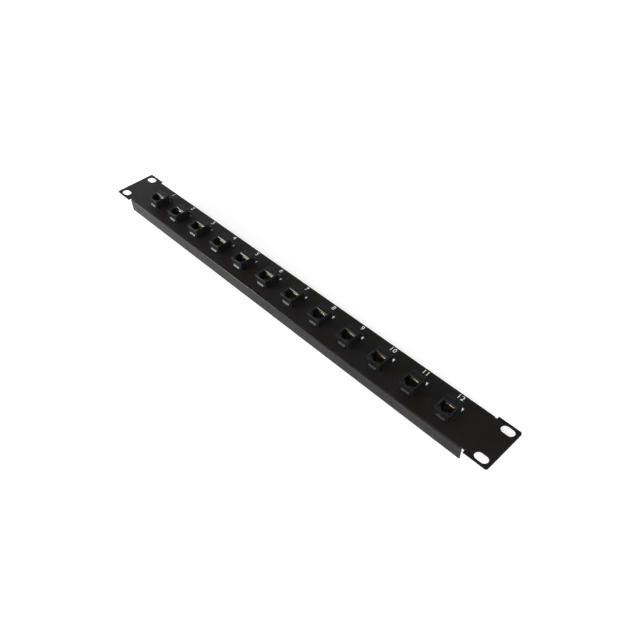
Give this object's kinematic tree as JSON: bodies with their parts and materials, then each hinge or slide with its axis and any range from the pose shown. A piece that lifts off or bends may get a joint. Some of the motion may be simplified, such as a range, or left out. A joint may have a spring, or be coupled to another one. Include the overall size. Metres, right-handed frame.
{
  "type": "audio patch bay",
  "caption": "Rack panel of a single unit's height with a row of snap-in feed-through modules, each with a modular socket front and rear.",
  "frame": {"origin": "centre of the four rack slots, on the rear face of the ears, where they meet the rack's rails", "axes": "+X along the panel from port 1 to port 12, +Y to the panel's top edge, +Z out of its front"},
  "size_m": [0.4826, 0.0434, 0.034],
  "materials": {
    "panel_black": "fine powder coat, satin",
    "module_black": "moulded, semi-gloss",
    "carrier_black": "moulded, matt",
    "contact_gold": "gold flash on phosphor bronze",
    "board_green": "solder resist"
  },
  "bodies": {
    "panel": {"rack_panel": "panel_black", "jack_01_housing": "module_black", "jack_02_housing": "module_black", "jack_03_housing": "module_black", "jack_04_housing": "module_black", "jack_05_housing": "module_black", "jack_06_housing": "module_black", "jack_07_housing": "module_black", "jack_08_housing": "module_black", "jack_09_housing": "module_black", "jack_10_housing": "module_black", "jack_11_housing": "module_black", "jack_12_housing": "module_black", "rear_shells": "module_black", "front_contact_carriers": "carrier_black", "rear_contact_carriers": "carrier_black", "circuit_boards": "board_green"},
    "jack_01_latch": {"jack_01_latch": "module_black"},
    "jack_01_front_contacts": {"jack_01_front_contacts": "contact_gold"},
    "jack_01_rear_contacts": {"jack_01_rear_contacts": "contact_gold"},
    "jack_02_latch": {"jack_02_latch": "module_black"},
    "jack_02_front_contacts": {"jack_02_front_contacts": "contact_gold"},
    "jack_02_rear_contacts": {"jack_02_rear_contacts": "contact_gold"},
    "jack_03_latch": {"jack_03_latch": "module_black"},
    "jack_03_front_contacts": {"jack_03_front_contacts": "contact_gold"},
    "jack_03_rear_contacts": {"jack_03_rear_contacts": "contact_gold"},
    "jack_04_latch": {"jack_04_latch": "module_black"},
    "jack_04_front_contacts": {"jack_04_front_contacts": "contact_gold"},
    "jack_04_rear_contacts": {"jack_04_rear_contacts": "contact_gold"},
    "jack_05_latch": {"jack_05_latch": "module_black"},
    "jack_05_front_contacts": {"jack_05_front_contacts": "contact_gold"},
    "jack_05_rear_contacts": {"jack_05_rear_contacts": "contact_gold"},
    "jack_06_latch": {"jack_06_latch": "module_black"},
    "jack_06_front_contacts": {"jack_06_front_contacts": "contact_gold"},
    "jack_06_rear_contacts": {"jack_06_rear_contacts": "contact_gold"},
    "jack_07_latch": {"jack_07_latch": "module_black"},
    "jack_07_front_contacts": {"jack_07_front_contacts": "contact_gold"},
    "jack_07_rear_contacts": {"jack_07_rear_contacts": "contact_gold"},
    "jack_08_latch": {"jack_08_latch": "module_black"},
    "jack_08_front_contacts": {"jack_08_front_contacts": "contact_gold"},
    "jack_08_rear_contacts": {"jack_08_rear_contacts": "contact_gold"},
    "jack_09_latch": {"jack_09_latch": "module_black"},
    "jack_09_front_contacts": {"jack_09_front_contacts": "contact_gold"},
    "jack_09_rear_contacts": {"jack_09_rear_contacts": "contact_gold"},
    "jack_10_latch": {"jack_10_latch": "module_black"},
    "jack_10_front_contacts": {"jack_10_front_contacts": "contact_gold"},
    "jack_10_rear_contacts": {"jack_10_rear_contacts": "contact_gold"},
    "jack_11_latch": {"jack_11_latch": "module_black"},
    "jack_11_front_contacts": {"jack_11_front_contacts": "contact_gold"},
    "jack_11_rear_contacts": {"jack_11_rear_contacts": "contact_gold"},
    "jack_12_latch": {"jack_12_latch": "module_black"},
    "jack_12_front_contacts": {"jack_12_front_contacts": "contact_gold"},
    "jack_12_rear_contacts": {"jack_12_rear_contacts": "contact_gold"}
  },
  "joints": [
    {"name": "jack_01_latch_bend", "type": "hinge", "parent": "panel", "child": "jack_01_latch", "pos_m": [-0.19041, 0.0071, 0.005], "axis": [-1, 0, 0], "range_deg": [0, 12], "stiffness_Nm_per_rad": 0.5},
    {"name": "jack_01_front_contacts_bend", "type": "hinge", "parent": "panel", "child": "jack_01_front_contacts", "pos_m": [-0.19041, 0.0015, 0.006], "axis": [1, 0, 0], "range_deg": [0, 10], "stiffness_Nm_per_rad": 0.5},
    {"name": "jack_01_rear_contacts_bend", "type": "hinge", "parent": "panel", "child": "jack_01_rear_contacts", "pos_m": [-0.19041, -0.0049, -0.0216], "axis": [1, 0, 0], "range_deg": [0, 10], "stiffness_Nm_per_rad": 0.5},
    {"name": "jack_02_latch_bend", "type": "hinge", "parent": "panel", "child": "jack_02_latch", "pos_m": [-0.15579, 0.0071, 0.005], "axis": [-1, 0, 0], "range_deg": [0, 12], "stiffness_Nm_per_rad": 0.5},
    {"name": "jack_02_front_contacts_bend", "type": "hinge", "parent": "panel", "child": "jack_02_front_contacts", "pos_m": [-0.15579, 0.0015, 0.006], "axis": [1, 0, 0], "range_deg": [0, 10], "stiffness_Nm_per_rad": 0.5},
    {"name": "jack_02_rear_contacts_bend", "type": "hinge", "parent": "panel", "child": "jack_02_rear_contacts", "pos_m": [-0.15579, -0.0049, -0.0216], "axis": [1, 0, 0], "range_deg": [0, 10], "stiffness_Nm_per_rad": 0.5},
    {"name": "jack_03_latch_bend", "type": "hinge", "parent": "panel", "child": "jack_03_latch", "pos_m": [-0.12117, 0.0071, 0.005], "axis": [-1, 0, 0], "range_deg": [0, 12], "stiffness_Nm_per_rad": 0.5},
    {"name": "jack_03_front_contacts_bend", "type": "hinge", "parent": "panel", "child": "jack_03_front_contacts", "pos_m": [-0.12117, 0.0015, 0.006], "axis": [1, 0, 0], "range_deg": [0, 10], "stiffness_Nm_per_rad": 0.5},
    {"name": "jack_03_rear_contacts_bend", "type": "hinge", "parent": "panel", "child": "jack_03_rear_contacts", "pos_m": [-0.12117, -0.0049, -0.0216], "axis": [1, 0, 0], "range_deg": [0, 10], "stiffness_Nm_per_rad": 0.5},
    {"name": "jack_04_latch_bend", "type": "hinge", "parent": "panel", "child": "jack_04_latch", "pos_m": [-0.08655, 0.0071, 0.005], "axis": [-1, 0, 0], "range_deg": [0, 12], "stiffness_Nm_per_rad": 0.5},
    {"name": "jack_04_front_contacts_bend", "type": "hinge", "parent": "panel", "child": "jack_04_front_contacts", "pos_m": [-0.08655, 0.0015, 0.006], "axis": [1, 0, 0], "range_deg": [0, 10], "stiffness_Nm_per_rad": 0.5},
    {"name": "jack_04_rear_contacts_bend", "type": "hinge", "parent": "panel", "child": "jack_04_rear_contacts", "pos_m": [-0.08655, -0.0049, -0.0216], "axis": [1, 0, 0], "range_deg": [0, 10], "stiffness_Nm_per_rad": 0.5},
    {"name": "jack_05_latch_bend", "type": "hinge", "parent": "panel", "child": "jack_05_latch", "pos_m": [-0.05193, 0.0071, 0.005], "axis": [-1, 0, 0], "range_deg": [0, 12], "stiffness_Nm_per_rad": 0.5},
    {"name": "jack_05_front_contacts_bend", "type": "hinge", "parent": "panel", "child": "jack_05_front_contacts", "pos_m": [-0.05193, 0.0015, 0.006], "axis": [1, 0, 0], "range_deg": [0, 10], "stiffness_Nm_per_rad": 0.5},
    {"name": "jack_05_rear_contacts_bend", "type": "hinge", "parent": "panel", "child": "jack_05_rear_contacts", "pos_m": [-0.05193, -0.0049, -0.0216], "axis": [1, 0, 0], "range_deg": [0, 10], "stiffness_Nm_per_rad": 0.5},
    {"name": "jack_06_latch_bend", "type": "hinge", "parent": "panel", "child": "jack_06_latch", "pos_m": [-0.01731, 0.0071, 0.005], "axis": [-1, 0, 0], "range_deg": [0, 12], "stiffness_Nm_per_rad": 0.5},
    {"name": "jack_06_front_contacts_bend", "type": "hinge", "parent": "panel", "child": "jack_06_front_contacts", "pos_m": [-0.01731, 0.0015, 0.006], "axis": [1, 0, 0], "range_deg": [0, 10], "stiffness_Nm_per_rad": 0.5},
    {"name": "jack_06_rear_contacts_bend", "type": "hinge", "parent": "panel", "child": "jack_06_rear_contacts", "pos_m": [-0.01731, -0.0049, -0.0216], "axis": [1, 0, 0], "range_deg": [0, 10], "stiffness_Nm_per_rad": 0.5},
    {"name": "jack_07_latch_bend", "type": "hinge", "parent": "panel", "child": "jack_07_latch", "pos_m": [0.01731, 0.0071, 0.005], "axis": [-1, 0, 0], "range_deg": [0, 12], "stiffness_Nm_per_rad": 0.5},
    {"name": "jack_07_front_contacts_bend", "type": "hinge", "parent": "panel", "child": "jack_07_front_contacts", "pos_m": [0.01731, 0.0015, 0.006], "axis": [1, 0, 0], "range_deg": [0, 10], "stiffness_Nm_per_rad": 0.5},
    {"name": "jack_07_rear_contacts_bend", "type": "hinge", "parent": "panel", "child": "jack_07_rear_contacts", "pos_m": [0.01731, -0.0049, -0.0216], "axis": [1, 0, 0], "range_deg": [0, 10], "stiffness_Nm_per_rad": 0.5},
    {"name": "jack_08_latch_bend", "type": "hinge", "parent": "panel", "child": "jack_08_latch", "pos_m": [0.05193, 0.0071, 0.005], "axis": [-1, 0, 0], "range_deg": [0, 12], "stiffness_Nm_per_rad": 0.5},
    {"name": "jack_08_front_contacts_bend", "type": "hinge", "parent": "panel", "child": "jack_08_front_contacts", "pos_m": [0.05193, 0.0015, 0.006], "axis": [1, 0, 0], "range_deg": [0, 10], "stiffness_Nm_per_rad": 0.5},
    {"name": "jack_08_rear_contacts_bend", "type": "hinge", "parent": "panel", "child": "jack_08_rear_contacts", "pos_m": [0.05193, -0.0049, -0.0216], "axis": [1, 0, 0], "range_deg": [0, 10], "stiffness_Nm_per_rad": 0.5},
    {"name": "jack_09_latch_bend", "type": "hinge", "parent": "panel", "child": "jack_09_latch", "pos_m": [0.08655, 0.0071, 0.005], "axis": [-1, 0, 0], "range_deg": [0, 12], "stiffness_Nm_per_rad": 0.5},
    {"name": "jack_09_front_contacts_bend", "type": "hinge", "parent": "panel", "child": "jack_09_front_contacts", "pos_m": [0.08655, 0.0015, 0.006], "axis": [1, 0, 0], "range_deg": [0, 10], "stiffness_Nm_per_rad": 0.5},
    {"name": "jack_09_rear_contacts_bend", "type": "hinge", "parent": "panel", "child": "jack_09_rear_contacts", "pos_m": [0.08655, -0.0049, -0.0216], "axis": [1, 0, 0], "range_deg": [0, 10], "stiffness_Nm_per_rad": 0.5},
    {"name": "jack_10_latch_bend", "type": "hinge", "parent": "panel", "child": "jack_10_latch", "pos_m": [0.12117, 0.0071, 0.005], "axis": [-1, 0, 0], "range_deg": [0, 12], "stiffness_Nm_per_rad": 0.5},
    {"name": "jack_10_front_contacts_bend", "type": "hinge", "parent": "panel", "child": "jack_10_front_contacts", "pos_m": [0.12117, 0.0015, 0.006], "axis": [1, 0, 0], "range_deg": [0, 10], "stiffness_Nm_per_rad": 0.5},
    {"name": "jack_10_rear_contacts_bend", "type": "hinge", "parent": "panel", "child": "jack_10_rear_contacts", "pos_m": [0.12117, -0.0049, -0.0216], "axis": [1, 0, 0], "range_deg": [0, 10], "stiffness_Nm_per_rad": 0.5},
    {"name": "jack_11_latch_bend", "type": "hinge", "parent": "panel", "child": "jack_11_latch", "pos_m": [0.15579, 0.0071, 0.005], "axis": [-1, 0, 0], "range_deg": [0, 12], "stiffness_Nm_per_rad": 0.5},
    {"name": "jack_11_front_contacts_bend", "type": "hinge", "parent": "panel", "child": "jack_11_front_contacts", "pos_m": [0.15579, 0.0015, 0.006], "axis": [1, 0, 0], "range_deg": [0, 10], "stiffness_Nm_per_rad": 0.5},
    {"name": "jack_11_rear_contacts_bend", "type": "hinge", "parent": "panel", "child": "jack_11_rear_contacts", "pos_m": [0.15579, -0.0049, -0.0216], "axis": [1, 0, 0], "range_deg": [0, 10], "stiffness_Nm_per_rad": 0.5},
    {"name": "jack_12_latch_bend", "type": "hinge", "parent": "panel", "child": "jack_12_latch", "pos_m": [0.19041, 0.0071, 0.005], "axis": [-1, 0, 0], "range_deg": [0, 12], "stiffness_Nm_per_rad": 0.5},
    {"name": "jack_12_front_contacts_bend", "type": "hinge", "parent": "panel", "child": "jack_12_front_contacts", "pos_m": [0.19041, 0.0015, 0.006], "axis": [1, 0, 0], "range_deg": [0, 10], "stiffness_Nm_per_rad": 0.5},
    {"name": "jack_12_rear_contacts_bend", "type": "hinge", "parent": "panel", "child": "jack_12_rear_contacts", "pos_m": [0.19041, -0.0049, -0.0216], "axis": [1, 0, 0], "range_deg": [0, 10], "stiffness_Nm_per_rad": 0.5}
  ]
}
